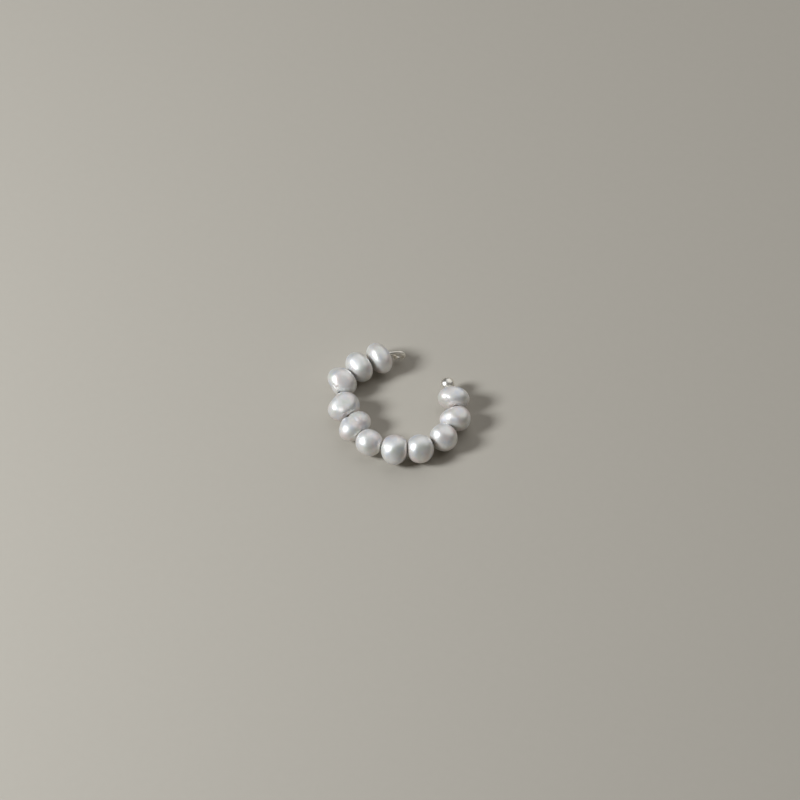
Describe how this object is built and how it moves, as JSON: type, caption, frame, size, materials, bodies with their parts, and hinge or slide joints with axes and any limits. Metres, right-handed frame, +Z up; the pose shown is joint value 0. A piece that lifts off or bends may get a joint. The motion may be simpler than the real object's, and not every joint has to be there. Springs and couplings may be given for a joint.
{
  "type": "pearl ear cuff (clip-on earring)",
  "caption": "Open C-shaped ear cuff of baroque pearls threaded on a silver wire with an eye at one end and a ball at the other, lying flat.",
  "frame": {"origin": "middle of the outline, on the table that the cuff lies on", "axes": "+Z up through the flat cuff, +Y out of the ring's open mouth, +X towards the ball end's side"},
  "size_m": [0.0214, 0.0178, 0.0043],
  "materials": {
    "silver": "polished sterling silver, lightly worn",
    "pearl": "cream white nacre with a soft satin lustre"
  },
  "bodies": {
    "root": {"wire": "silver", "pearl_01": "pearl", "pearl_02": "pearl", "pearl_03": "pearl", "pearl_04": "pearl", "pearl_05": "pearl", "pearl_06": "pearl", "pearl_07": "pearl", "pearl_08": "pearl", "pearl_09": "pearl", "pearl_10": "pearl", "pearl_11": "pearl"}
  },
  "joints": []
}
